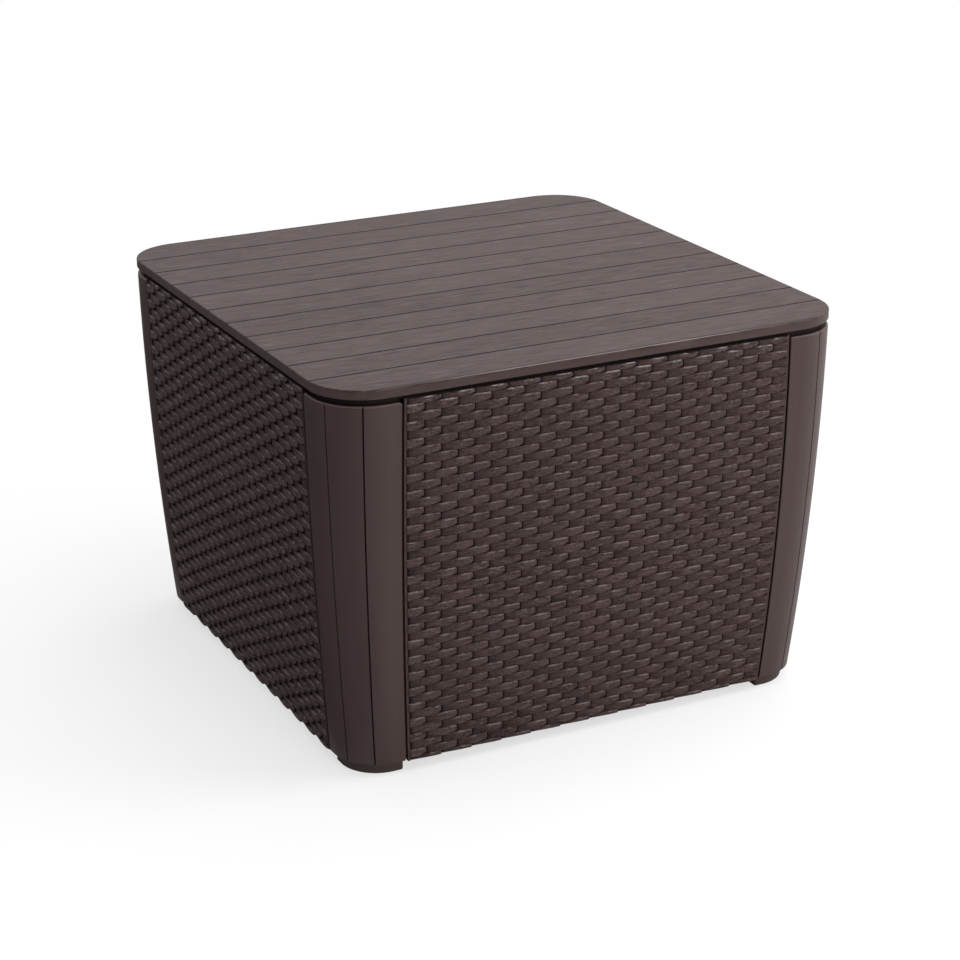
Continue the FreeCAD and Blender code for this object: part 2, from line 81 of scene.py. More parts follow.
class WallShape(bpy.types.PropertyGroup):
    """Outer face of the four walls, as a quadratic in height, and the seams between panels and posts."""

    half_top: bpy.props.FloatProperty(
        name="Half width", description="Half the width across two walls at the top of the posts",
        default=0.3585, unit="LENGTH")
    taper: bpy.props.FloatProperty(
        name="Taper", description="How much less the half width is at the feet", default=0.026, unit="LENGTH")
    bow: bpy.props.FloatProperty(
        name="Bow", description="How far the walls bulge halfway up", default=0.0046, unit="LENGTH")
    foot_height: bpy.props.FloatProperty(
        name="Foot height", description="Height at which the posts start", default=0.017, unit="LENGTH")
    post_top: bpy.props.FloatProperty(
        name="Post top", description="Height of the top of the posts", default=0.497, unit="LENGTH")
    leg_top: bpy.props.FloatProperty(
        name="Post width, top", description="From a wall's corner to its seam, at the top",
        default=0.0893, unit="LENGTH")
    leg_bottom: bpy.props.FloatProperty(
        name="Post width, bottom", description="From a wall's corner to its seam, at the feet",
        default=0.0733, unit="LENGTH")
    corner_top: bpy.props.FloatProperty(
        name="Corner radius, top", description="Outer radius of a post at its top", default=0.0674,
        unit="LENGTH")
    corner_bottom: bpy.props.FloatProperty(
        name="Corner radius, bottom", description="Outer radius of a post at the feet", default=0.059,
        unit="LENGTH")
    field_edge: bpy.props.FloatProperty(
        name="Field edge", description="From the middle of the seam to the woven field",
        default=0.0045, unit="LENGTH")
    rim_half: bpy.props.FloatProperty(
        name="Notch border", description="Half the width of the plain border round the hose notch",
        default=0.042, unit="LENGTH")
    rim_top: bpy.props.FloatProperty(
        name="Notch border top", description="Height of the plain border round the hose notch",
        default=0.072, unit="LENGTH")


class WeaveSizes(bpy.types.PropertyGroup):
    """The moulded rattan weave of the walls."""

    columns: bpy.props.IntProperty(
        name="Columns", description="Columns across one wall; a strand is two columns long", default=24)
    rows: bpy.props.IntProperty(
        name="Rows", description="Rows from the top to the bottom of a wall", default=45)
    row_height: bpy.props.FloatProperty(
        name="Row height", description="Height of one row of strands", default=0.011, unit="LENGTH")
    first_row: bpy.props.FloatProperty(
        name="First row", description="Height of the middle of the top row", default=0.498, unit="LENGTH")
    slot: bpy.props.FloatProperty(
        name="Slot", description="Dark slot before each strand starts", default=0.0034, unit="LENGTH")
    low: bpy.props.FloatProperty(
        name="Low end", description="Face of a strand where it starts, from the wall's outer face",
        default=-0.0012, unit="LENGTH")
    high: bpy.props.FloatProperty(
        name="High end", description="Face of a strand where it ends, from the wall's outer face",
        default=0.0018, unit="LENGTH")
    widening: bpy.props.FloatProperty(
        name="Widening", description="How much wider than its start a strand is at its end, in rows",
        default=0.03)
    edge_round: bpy.props.FloatProperty(
        name="Edge rounding", description="How far a strand's long edges fall back", default=0.0012,
        unit="LENGTH")
    hook: bpy.props.FloatProperty(
        name="Hook", description="How far a strand's lower edge is drawn up at its end", default=0.0031,
        unit="LENGTH")
    unevenness: bpy.props.FloatProperty(
        name="Unevenness", description="How much the strands differ in height", default=0.0003,
        unit="LENGTH")
    back: bpy.props.FloatProperty(
        name="Back", description="Back of the strands, from the wall's outer face", default=-0.0017,
        unit="LENGTH")
    top_gap: bpy.props.FloatProperty(
        name="Top gap", description="From the panel's upper edge down to the strands", default=0.0016,
        unit="LENGTH")
    least: bpy.props.FloatProperty(
        name="Least length", description="Length in columns under which a cut strand is left out",
        default=0.2)


class ResinColours(bpy.types.PropertyGroup):
    """Base colours of the moulded resin and the screws."""

    lid: bpy.props.FloatVectorProperty(
        name="Lid", description="Plank lid", subtype="COLOR", default=(0.062, 0.041, 0.039))
    posts: bpy.props.FloatVectorProperty(
        name="Posts", description="Corner posts", subtype="COLOR", default=(0.060, 0.039, 0.037))
    rattan: bpy.props.FloatVectorProperty(
        name="Rattan", description="Woven walls", subtype="COLOR", default=(0.060, 0.039, 0.037))
    feet: bpy.props.FloatVectorProperty(
        name="Feet", description="Feet under the posts", subtype="COLOR", default=(0.055, 0.038, 0.035))
    inside: bpy.props.FloatVectorProperty(
        name="Inside", description="Liner, inner post halves and floor", subtype="COLOR",
        default=(0.040, 0.029, 0.027))
    screws: bpy.props.FloatVectorProperty(
        name="Screws", description="Plated steel", subtype="COLOR", default=(0.55, 0.56, 0.57))


class StudioSettings(bpy.types.PropertyGroup):
    """Camera and lights."""

    camera_place: bpy.props.FloatVectorProperty(
        name="Camera", description="Where the camera stands", subtype="TRANSLATION",
        default=(-1.4237, -2.8196, 1.4284))
    camera_target: bpy.props.FloatVectorProperty(
        name="Target", description="A point in the middle of the picture", subtype="TRANSLATION",
        default=(-0.3306, -0.6748, 0.5170))
    camera_roll: bpy.props.FloatProperty(
        name="Roll", description="Turn of the camera about its own axis", subtype="ANGLE",
        default=math.radians(-0.2092))
    lens: bpy.props.FloatProperty(
        name="Focal length", description="On a sensor 36 mm wide", default=92.45, subtype="DISTANCE_CAMERA")
    sky: bpy.props.FloatProperty(
        name="Sky", description="Strength of the even light from all round", default=0.58)
    key: bpy.props.FloatProperty(
        name="Key light", description="Power of the large light at the right", default=42.0, unit="POWER")
    top: bpy.props.FloatProperty(
        name="Top light", description="Power of the large light overhead", default=38.0, unit="POWER")
    front: bpy.props.FloatProperty(
        name="Front light", description="Power of the light in front", default=23.0, unit="POWER")
    left: bpy.props.FloatProperty(
        name="Left light", description="Power of the weak light at the left", default=8.5, unit="POWER")
    floor_glow: bpy.props.FloatProperty(
        name="Floor glow", description="Light that the floor adds where the camera sees it", default=0.64)


# Node helpers


class Flow:
    """A socket in a node tree, with arithmetic that adds the math nodes it needs."""

    def __init__(self, tree, socket):
        self.tree = tree
        self.socket = socket

    def math(self, operation, *others):
        node = self.tree.nodes.new("ShaderNodeMath")
        node.operation = operation
        for place, value in enumerate((self,) + others):
            plug(self.tree, node.inputs[place], value)
        return Flow(self.tree, node.outputs[0])

    def __add__(self, other):
        return self.math("ADD", other)

    def __sub__(self, other):
        return self.math("SUBTRACT", other)

    def __mul__(self, other):
        return self.math("MULTIPLY", other)

    def __truediv__(self, other):
        return self.math("DIVIDE", other)

    def __neg__(self):
        return self.math("MULTIPLY", -1.0)

    def __pow__(self, other):
        return self.math("POWER", other)

    def rest_from(self, whole):
        """A number less this value."""
        return self * -1.0 + whole

    def at_least(self, other):
        return self.math("MAXIMUM", other)

    def at_most(self, other):
        return self.math("MINIMUM", other)

    def above(self, other):
        """1 where this value is more than the other, and 0 elsewhere."""
        return self.math("GREATER_THAN", other)

    def size(self):
        return self.math("ABSOLUTE")

    def whole(self):
        return self.math("FLOOR")

    def eased(self, start, end, low=0.0, high=1.0):
        """Runs from low to high, with a soft start and end, as this value runs from start to end."""
        node = self.tree.nodes.new("ShaderNodeMapRange")
        node.interpolation_type = "SMOOTHSTEP"
        for name, value in (("Value", self), ("From Min", start), ("From Max", end),
                            ("To Min", low), ("To Max", high)):
            plug(self.tree, node.inputs[name], value)
        return Flow(self.tree, node.outputs["Result"])


def plug(tree, socket, value):
    """Links a flow or a socket into a socket, or sets a plain value on it."""
    if isinstance(value, Flow):
        tree.links.new(value.socket, socket)
    elif isinstance(value, bpy.types.NodeSocket):
        tree.links.new(value, socket)
    else:
        socket.default_value = value


def add_node(tree, kind, inputs=None, **settings):
    """A new node with its settings, and its inputs by name or place."""
    node = tree.nodes.new(kind)
    for name, value in settings.items():
        setattr(node, name, value)
    for key, value in (inputs or {}).items():
        plug(tree, node.inputs[key], value)
    return node


def bare_tree(owner):
    """The emptied node tree of a material or a world."""
    owner.use_nodes = True
    owner.node_tree.nodes.clear()
    return owner.node_tree


def combined(tree, x, y, z):
    node = add_node(tree, "ShaderNodeCombineXYZ", {"X": x, "Y": y, "Z": z})
    return node.outputs[0]


def parts_of(tree, vector):
    """X, Y and Z of a vector socket."""
    node = add_node(tree, "ShaderNodeSeparateXYZ", {0: vector})
    return [Flow(tree, output) for output in node.outputs]


# Geometry Nodes


def geometry_tree(name, values):
    """A tree with one named input for each value, and those inputs as flows."""
    kinds = {int: "NodeSocketInt", float: "NodeSocketFloat", bpy.types.Material: "NodeSocketMaterial"}
    tree = bpy.data.node_groups.new(name, "GeometryNodeTree")
    tree.interface.new_socket("Geometry", in_out="OUTPUT", socket_type="NodeSocketGeometry")
    for label, value in values.items():
        tree.interface.new_socket(label, in_out="INPUT", socket_type=kinds[type(value)])
    entry = tree.nodes.new("NodeGroupInput")
    return tree, {label: Flow(tree, entry.outputs[label]) for label in values}


def close_tree(tree, geometry, material):
    """Ends a tree: real geometry, with its material."""
    real = add_node(tree, "GeometryNodeRealizeInstances", {"Geometry": geometry})
    painted = add_node(tree, "GeometryNodeSetMaterial", {"Geometry": real.outputs[0], "Material": material})
    add_node(tree, "NodeGroupOutput", {0: painted.outputs[0]})


def made_by_nodes(name, tree, values):
    """A piece whose plain mesh is what a tree makes from the given values."""
    piece = bpy.data.objects.new(name, bpy.data.meshes.new(name + "_start"))
    bpy.context.scene.collection.objects.link(piece)
    modifier = piece.modifiers.new(tree.name, "NODES")
    modifier.node_group = tree
    for item in tree.interface.items_tree:
        if item.in_out == "INPUT":
            modifier[item.identifier] = values[item.name]
    graph = bpy.context.evaluated_depsgraph_get()
    made = bpy.data.meshes.new_from_object(
        piece.evaluated_get(graph), preserve_all_data_layers=True, depsgraph=graph)
    piece.modifiers.remove(modifier)
    piece.data = made
    made.name = name
    return piece


# The weave


def half_width(rise, top, taper, bow):
    """Half the width across two walls, as rise goes from 0 at the feet to 1 at the post tops."""
    short = rise.rest_from(1.0)
    return (short * taper).rest_from(top) + rise * bow * short * 4.0


def wall_at(size, z):
    """Half the width across the walls and half the width of the woven field at height z, as flows."""
    rise = (z - size["Foot height"]) / (size["Post top"] - size["Foot height"])
    half = half_width(rise, size["Half width"], size["Taper"], size["Bow"])
    leg = rise.rest_from(1.0) * size["Post width, bottom"] + rise * size["Post width, top"]
    return half, half - leg - size["Field edge"]


def strands_per_row(size):
    """Enough strands for a row that starts one column before the field."""
    return (size["Columns"] / 2.0 + 1.0).whole()


def strand_span(size, strand):
    """Where a strand lies: its row, the column where it starts, and the columns that show of it."""
    per_row = strands_per_row(size)
    row = (strand / per_row).whole()
    place = strand - row * per_row
    odd = row - (row / 2.0).whole() * 2.0
    start = place * 2.0 - odd
    shown_from = start.at_least(0.0)
    shown_to = (start + 2.0).at_most(size["Columns"])
    return row, start, shown_from, shown_to


def cut_by_rim(size, mid_height, mid_column, shown_from, shown_to):
    """Draws a strand's shown columns back from the plain border round the hose notch."""
    low_row = mid_height.math("LESS_THAN", size["Rim top"])
    _, field = wall_at(size, size["Foot height"])
    centre = size["Columns"] / 2.0
    rim = size["Rim half width"] / field * centre
    left = mid_column.math("LESS_THAN", centre)
    to_cut = shown_to.at_most(centre - rim)
    from_cut = shown_from.at_least(centre + rim)
    shown_to = shown_to + (to_cut - shown_to) * left * low_row
    shown_from = shown_from + (from_cut - shown_from) * left.rest_from(1.0) * low_row
    return shown_from, shown_to


def spread_to_ends(share, power):
    """Moves evenly spaced shares from 0 to 1 towards both ends; also gives how near an end each is."""
    off = share * 2.0 - 1.0
    near = off.size()
    moved = near.rest_from(1.0) ** power
    return off.math("SIGN") * moved.rest_from(1.0) / 2.0 + 0.5, near


def stored(tree, geometry, name, value, data_type, domain="POINT"):
    """A geometry socket with a named attribute on it."""
    node = add_node(tree, "GeometryNodeStoreNamedAttribute",
                    {"Geometry": geometry, "Name": name, "Value": value},
                    data_type=data_type, domain=domain)
    return node.outputs[0]


def numbered_points(tree, size):
    """One point for each strand, numbered from the top row down, and its number as a flow."""
    points = add_node(tree, "GeometryNodePoints", {"Count": strands_per_row(size) * size["Rows"]})
    index = tree.nodes.new("GeometryNodeInputIndex").outputs[0]
    numbered = stored(tree, points.outputs[0], "strand", index, "INT")
    named = add_node(tree, "GeometryNodeInputNamedAttribute", {"Name": "strand"}, data_type="INT")
    return numbered, Flow(tree, named.outputs["Attribute"])


def strand_blocks(tree, points, left_out):
    """A small grid block, one unit each way, on every point that isn't left out."""
    kept = add_node(tree, "GeometryNodeDeleteGeometry",
                    {"Geometry": points, "Selection": left_out}, domain="POINT")
    block = add_node(tree, "GeometryNodeMeshCube", {"Vertices X": 8, "Vertices Y": 4, "Vertices Z": 2})
    placed = add_node(tree, "GeometryNodeInstanceOnPoints",
                      {"Points": kept.outputs[0], "Instance": block.outputs["Mesh"]})
    return add_node(tree, "GeometryNodeRealizeInstances", {"Geometry": placed.outputs[0]}).outputs[0]


def strand_height(size, mid_height, travel, across):
    """Height of a point on a strand, which widens as it goes and whose lower edge hooks up at its end."""
    hook_start = 0.84
    half_row = size["Row height"] * ((travel - 0.5) * size["Widening"] + 1.0) * 0.5
    hook = travel.eased(hook_start, 1.0, 0.0, size["Hook"])
    top = (mid_height + half_row).at_most(size["Top"])
    bottom = (mid_height - half_row + hook).at_least(size["Bottom"])
    return bottom + (top - bottom) * across


def strand_face(tree, size, strand, travel, end_near, edge_near):
    """Face of a strand, from the wall's outer face: it rises as it goes and falls back at its edges."""
    rise_start, rise_end = 0.10, 0.62
    edge_power, end_power, end_share = 3.0, 12.0, 0.4
    uneven = add_node(tree, "FunctionNodeRandomValue",
                      {"Min": -0.5, "Max": 0.5, "ID": strand, "Seed": 7}, data_type="FLOAT")
    uneven = next(output for output in uneven.outputs if output.type == "VALUE" and output.enabled)
    raised = travel.eased(rise_start, rise_end)
    climb = size["High end"] - size["Low end"] + Flow(tree, uneven) * size["Unevenness"]
    fall = (edge_near ** edge_power + end_near ** end_power * end_share) * size["Edge rounding"]
    return size["Low end"] + climb * raised - fall * raised


def softly_shaded(tree, geometry):
    """Smooth shading, broken where two faces meet at a clear angle."""
    clear_angle = math.radians(32)
    smooth = add_node(tree, "GeometryNodeSetShadeSmooth", {"Geometry": geometry}, domain="FACE")
    bend = tree.nodes.new("GeometryNodeInputMeshEdgeAngle").outputs[0]
    crisp = Flow(tree, bend).above(clear_angle)
    shaded = add_node(tree, "GeometryNodeSetShadeSmooth",
                      {"Geometry": smooth.outputs[0], "Selection": crisp, "Shade Smooth": False},
                      domain="EDGE")
    return shaded.outputs[0]


def weave_tree(values):
    """Strands two columns long and one row high, each low where it starts and high where it ends.

    Neighbouring rows are a column apart. One strand is a small grid block, bent to its place on the wall.
    """
    end_crowding, edge_crowding = 3.0, 3.8
    tree, size = geometry_tree("weave", values)
    points, strand = numbered_points(tree, size)
    row, start, shown_from, shown_to = strand_span(size, strand)
    mid_height = size["First row"] - row * size["Row height"]
    shown_from, shown_to = cut_by_rim(size, mid_height, start + 1.0, shown_from, shown_to)
    too_short = (shown_to - shown_from).math("LESS_THAN", size["Least length"])
    blocks = strand_blocks(tree, points, too_short)

    position = tree.nodes.new("GeometryNodeInputPosition").outputs[0]
    block_x, block_y, block_z = parts_of(tree, position)
    along, end_near = spread_to_ends(block_x + 0.5, end_crowding)
    across, edge_near = spread_to_ends(block_y + 0.5, edge_crowding)

    _, field = wall_at(size, mid_height)
    column_width = field * 2.0 / size["Columns"]
    uncut = (start + 0.01).above(shown_from)
    first = shown_from + size["Slot"] / column_width * uncut
    column = first + (shown_to - first) * along
    travel = (column - start) / 2.0
    z = strand_height(size, mid_height, travel, across)
    face = strand_face(tree, size, strand, travel, end_near, edge_near)
    depth = size["Back"] + (face - size["Back"]) * (block_z + 0.5)
    half, field = wall_at(size, z)
    x = (column / size["Columns"] * 2.0 - 1.0) * field
    turned = add_node(tree, "ShaderNodeVectorRotate",
                      {"Vector": combined(tree, x, -(half + depth), z), "Angle": size["Turn"]},
                      rotation_type="Z_AXIS")

    mapped = stored(tree, blocks, "UVMap", combined(tree, x, z, 0.0), "FLOAT2", "CORNER")
    told = stored(tree, mapped, "lie", combined(tree, travel, across, 0.0), "FLOAT_VECTOR")
    bent = add_node(tree, "GeometryNodeSetPosition", {"Geometry": told, "Position": turned.outputs[0]})
    close_tree(tree, softly_shaded(tree, bent.outputs[0]), size["Material"])
    return tree


def weave_values(context, material):
    """What the weave's tree needs, apart from the wall that it is for."""
    wall = context.scene.cover_table_wall
    weave = context.scene.cover_table_weave
    low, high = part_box("panel_front")
    return {
        "Columns": weave.columns, "Rows": weave.rows, "Row height": weave.row_height,
        "First row": weave.first_row, "Slot": weave.slot, "Low end": weave.low, "High end": weave.high,
        "Widening": weave.widening, "Edge rounding": weave.edge_round, "Unevenness": weave.unevenness,
        "Hook": weave.hook, "Back": weave.back, "Least length": weave.least,
        "Half width": wall.half_top, "Taper": wall.taper, "Bow": wall.bow,
        "Foot height": wall.foot_height, "Post top": wall.post_top,
        "Post width, top": wall.leg_top, "Post width, bottom": wall.leg_bottom,
        "Field edge": wall.field_edge, "Rim half width": 0.0, "Rim top": 0.0,
        "Top": high.z - weave.top_gap, "Bottom": low.z, "Turn": 0.0, "Material": material,
    }


# Materials


def new_finish(name, gloss):
    """A new material, its tree, its shader and the object's own coordinates."""
    material = bpy.data.materials.new(name)
    tree = bare_tree(material)
    shader = tree.nodes.new("ShaderNodeBsdfPrincipled")
    shader.inputs["Specular IOR Level"].default_value = gloss
    add_node(tree, "ShaderNodeOutputMaterial", {"Surface": shader.outputs[0]})
    place = tree.nodes.new("ShaderNodeTexCoord").outputs["Object"]
    return material, tree, shader, place


def noise(tree, vector, scale=1.0, detail=2.0, roughness=0.5):
    """Soft random values round 0.5."""
    node = add_node(tree, "ShaderNodeTexNoise",
                    {"Vector": vector, "Scale": scale, "Detail": detail, "Roughness": roughness})
    return Flow(tree, node.outputs[0])


def stretched(tree, place, x, y, z):
    """Coordinates scaled along each axis, so that a pattern becomes streaks."""
    node = add_node(tree, "ShaderNodeMapping", {"Vector": place, "Scale": (x, y, z)})
    return node.outputs[0]


def toned(tree, colour, strength, grey=None):
    """A colour made lighter or darker by a flow, where 1 leaves it as it is, with some grey on top, which
    carries painted highlights of the lid and the rattan.
    """
    node = add_node(tree, "ShaderNodeVectorMath", {0: tuple(colour), 3: strength}, operation="SCALE")
    if grey is None:
        return node.outputs[0]
    with_grey = add_node(tree, "ShaderNodeVectorMath",
                     {0: node.outputs[0], 1: combined(tree, grey, grey, grey)}, operation="ADD")
    return with_grey.outputs[0]


def dented(tree, shader, height, distance, strength=1.0):
    """Bump from a height flow, on top of what bumps the shader already."""
    node = add_node(tree, "ShaderNodeBump", {"Height": height, "Distance": distance, "Strength": strength})
    if shader.inputs["Normal"].is_linked:
        plug(tree, node.inputs["Normal"], shader.inputs["Normal"].links[0].from_socket)
    tree.links.new(node.outputs[0], shader.inputs["Normal"])


def rounded_square_depth(x, y, half, corner):
    """How far a point lies inside a square with rounded corners."""
    past_x = x.size() - half + corner
    past_y = y.size() - half + corner
    round_part = (past_x.at_least(0.0) ** 2.0 + past_y.at_least(0.0) ** 2.0) ** 0.5
    flat_part = past_x.at_least(past_y).at_most(0.0)
    return (round_part + flat_part) * -1.0 + corner


def below_wall(tree, place, wall):
    """How far a point lies inside the outer face of the walls and their rounded corners."""
    x, y, z = parts_of(tree, place)
    rise = (z - wall.foot_height) / (wall.post_top - wall.foot_height)
    half = half_width(rise, wall.half_top, wall.taper, wall.bow)
    corner = rise * (wall.corner_top - wall.corner_bottom) + wall.corner_bottom
    return rounded_square_depth(x, y, half, corner)


def moulded_grit(tree, shader, place, distance):
    """The fine even grain of a spark-eroded mould."""
    dented(tree, shader, noise(tree, place, scale=1400.0, detail=1.0), distance)


def chance(tree, number):
    """A number from 0 to 1 that differs from one whole number to the next."""
    node = add_node(tree, "ShaderNodeTexWhiteNoise", {"W": number}, noise_dimensions="1D")
    return Flow(tree, node.outputs["Value"])


def plank_grain(tree, lid, pitch, x, y, z):
    """Wood figure of the planks: grain, fine lines, short flames, and the tone that comes of them."""
    plank = (y / pitch + lid.planks / 2).whole()
    shift = plank * 3.71
    grain_place = combined(tree, x * 20.0 + shift, y * 105.0, z * 105.0 + shift)
    grain = noise(tree, grain_place, detail=5.0, roughness=0.65)
    fine = noise(tree, combined(tree, x * 34.0 + shift, y * 420.0, z * 420.0))
    flame = noise(tree, combined(tree, x * 30.0 - shift, y * 190.0, z * 190.0), roughness=0.6)
    cloud = noise(tree, combined(tree, x * 4.0 + shift, y * 9.0, z))
    tone = grain * 2.3 + fine * 0.8 + cloud * 0.6 + chance(tree, plank) * 0.16 - 1.85
    tone = tone + flame.eased(0.58, 0.66, 0.0, 0.55) - flame.eased(0.42, 0.34, 0.0, 0.33)
    return grain, fine, flame, tone


def lid_finish(lid, colours):
    """Moulded planks: wood streaks that differ from plank to plank, painted shade in the grooves and under
    the band, and painted highlights on two edges.
    """
    material, tree, shader, place = new_finish("lid_resin", gloss=0.10)
    x, y, z = parts_of(tree, place)
    low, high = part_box("lid_top")
    pitch = (high.y - low.y - 2 * lid.end_extra) / lid.planks
    grain, fine, flame, tone = plank_grain(tree, lid, pitch, x, y, z)
    upper = z.eased(high.z - 4.0 * MILLIMETRE, high.z - 1.0 * MILLIMETRE)
    tone = (tone * (upper * 0.65 + 0.35) - upper * 0.1 + 1.1).at_least(0.3)

    inward = rounded_square_depth(x, y, high.x, lid.corner)
    # Painted shade in and beside the plank grooves
    strip = y / pitch
    groove_side = (strip - strip.whole() - 0.5).size() * pitch
    groove_half = lid.groove_width / 2
    groove_shade = groove_side.eased(groove_half + 0.9 * MILLIMETRE, groove_half + 0.2 * MILLIMETRE)
    groove_floor = high.z - lid.groove_depth
    groove_shade = groove_shade * z.eased(groove_floor - 0.3 * MILLIMETRE, groove_floor - 0.05 * MILLIMETRE)
    groove_shade = groove_shade * inward.eased(0.2 * MILLIMETRE, 1.0 * MILLIMETRE)

    # Painted highlight, lighter and with some grey, along the rounded top edges near the middle of the front
    # and the rear
    highlight_full_reach, highlight_end_reach = 0.12, 0.27
    edge_highlight = inward.eased(2.8 * MILLIMETRE, 2.0 * MILLIMETRE) * x.size().eased(highlight_end_reach, highlight_full_reach)
    edge_highlight = edge_highlight * z.eased(high.z - 0.9 * MILLIMETRE, high.z - 0.5 * MILLIMETRE)
    # Painted shade on the lid's underside and at the foot of its band
    underside = high.z - lid.band
    underside_shade = z.eased(underside + 0.3 * MILLIMETRE, underside + 0.1 * MILLIMETRE)

    # Painted shade of the grooves and the underside, which darkens the colour and its grey
    shade = (groove_shade * -0.78 + 1.0) * (underside_shade * -0.7 + 1.0)
    grey = ((tone - 1.0).at_least(0.0) * 0.035 + edge_highlight * 0.07) * shade
    tone = tone.at_most(1.0) * shade * (edge_highlight + 1.0)
    plug(tree, shader.inputs["Base Color"], toned(tree, colours.lid, tone, grey))
    plug(tree, shader.inputs["Roughness"], grain * 0.26 + fine * 0.12 + 0.28)
    dented(tree, shader, (grain - 0.5) * upper, 0.9 * MILLIMETRE, 0.8)
    dented(tree, shader, (flame - 0.5) * upper, 0.4 * MILLIMETRE, 0.7)
    dented(tree, shader, fine, 0.16 * MILLIMETRE, 0.8)
    return material


def post_finish(wall, colours):
    """Moulded planks of the corner posts: faint upright streaks, painted shade in the grooves and on the cap
    top, and a painted highlight on the top edge.
    """
    material, tree, shader, place = new_finish("post_resin", gloss=0.19)
    streak = noise(tree, stretched(tree, place, 75.0, 75.0, 3.0), detail=4.0, roughness=0.6)
    fine = noise(tree, stretched(tree, place, 480.0, 480.0, 12.0))
    cloud = noise(tree, place, scale=6.0)
    _, _, z = parts_of(tree, place)
    # Painted shade in the grooves and seams, below the posts' top
    hollow_shade = below_wall(tree, place, wall).eased(0.5 * MILLIMETRE, 1.8 * MILLIMETRE)
    hollow_shade = hollow_shade * z.math("LESS_THAN", wall.post_top - 4.0 * MILLIMETRE)
    # Painted highlight on the rounded top edge of the posts
    top_edge_highlight = z.eased(wall.post_top - 2.4 * MILLIMETRE, wall.post_top - 1.3 * MILLIMETRE)
    # Painted shade on the flat cap top, under the lid
    cap_shade = z.eased(wall.post_top - 0.35 * MILLIMETRE, wall.post_top - 0.1 * MILLIMETRE)
    tone = streak * 0.16 + fine * 0.10 + cloud * 0.12 + 0.81
    tone = tone * (hollow_shade * -0.8 + 1.0) * (top_edge_highlight * 0.8 + 1.0) * (cap_shade * -0.8 + 1.0)
    plug(tree, shader.inputs["Base Color"], toned(tree, colours.posts, tone))
    plug(tree, shader.inputs["Roughness"], streak * 0.12 + fine * 0.08 + 0.36)
    dented(tree, shader, streak, 0.25 * MILLIMETRE, 0.5)
    dented(tree, shader, fine, 0.08 * MILLIMETRE, 0.5)
    return material


def rattan_finish(wall, colours):
    """Woven strands: short striations, painted highlights on the upper edges and the ends, painted shade on
    the lower edges and the low ends.
    """
    material, tree, shader, place = new_finish("rattan_resin", gloss=0.06)
    x, y, z = parts_of(tree, place)
    strand = add_node(tree, "ShaderNodeAttribute", attribute_name="strand")
    own = chance(tree, strand.outputs["Fac"])
    groove_place = combined(tree, x * 70.0 + own * 9.0, y * 70.0, z * 330.0 + own * 40.0)
    groove = noise(tree, groove_place, detail=5.0, roughness=0.75)
    fine_place = combined(tree, x * 260.0, y * 260.0, z * 950.0 + own * 40.0)
    fine = noise(tree, fine_place, detail=1.0)
    cloud = noise(tree, place, scale=7.0)

    lie = add_node(tree, "ShaderNodeAttribute", attribute_name="lie")
    travel, across, _ = parts_of(tree, lie.outputs["Vector"])
    before_tip = travel.eased(0.985, 0.94)
    # Painted highlight on the end of each strand, which also lightens its colour
    tip_highlight = travel.eased(0.985, 0.998)
    # Painted shade: the low start of each strand is darker, where it lies under its neighbours
    start = travel.eased(0.62, 0.28) * 0.24 + travel.eased(0.22, 0.04) * 0.35
    # Painted highlight along the upper edge of each strand's high end
    upper_edge_highlight = across.eased(0.85, 0.91) * travel.eased(0.42, 0.66) * before_tip
    # Painted shade along the lower edge of each strand's high end
    lower_edge_shade = across.eased(0.26, 0.08) * travel.eased(0.55, 0.95)
    raised = travel.eased(0.30, 0.62) * before_tip

    tone = groove * 3.7 + fine * 1.7 + own * 0.24 + cloud * 0.20 - 1.74
    tone = tone.at_least(0.3) * (tip_highlight * 0.9 - start + 1.0) * (lower_edge_shade * -0.65 + 1.0)
    # Painted highlight flecks on the upper edges and on the raised parts
    highlight_flecks = upper_edge_highlight * groove.eased(0.44, 0.56) + raised * fine.eased(0.55, 0.75) * 0.25
    # The painted highlights are added as grey, more of it in the rows near the top
    top_rows = z.eased(wall.post_top - 19.0 * MILLIMETRE, wall.post_top - 7.0 * MILLIMETRE)
    painted_highlight = (highlight_flecks * 0.10 + tip_highlight * 0.03) * (top_rows * 1.2 + 1.0)
    plug(tree, shader.inputs["Base Color"], toned(tree, colours.rattan, tone, painted_highlight))
    plug(tree, shader.inputs["Roughness"], groove * 0.24 + own * 0.08 + 0.36)
    dented(tree, shader, groove + fine * 0.3, 2.0 * MILLIMETRE, 1.0)
    moulded_grit(tree, shader, place, 0.03 * MILLIMETRE)
    return material


def recess_finish(wall, colours):
    """The panels behind the strands: plain moulded resin, with painted shade where it lies deep between them.
    """
    material, tree, shader, place = new_finish("recess_resin", gloss=0.03)
    cloud = noise(tree, place, scale=9.0, detail=3.0)
    streak = noise(tree, stretched(tree, place, 40.0, 40.0, 6.0), detail=3.0)
    sunk = below_wall(tree, place, wall)
    # Painted shade in the slots between the strands, where the panel lies deep
    recessed = sunk.eased(1.22 * MILLIMETRE, 1.42 * MILLIMETRE)
    outside = sunk.eased(4.0 * MILLIMETRE, 3.0 * MILLIMETRE)
    hollow_shade = recessed * outside
    tone = (cloud * 0.24 + streak * 0.16 + 0.85) * (hollow_shade * -0.80 + 1.0)
    plug(tree, shader.inputs["Base Color"], toned(tree, colours.rattan, tone))
    plug(tree, shader.inputs["Roughness"], cloud * 0.14 + hollow_shade * 0.4 + 0.36)
    moulded_grit(tree, shader, place, 0.05 * MILLIMETRE)
    return material


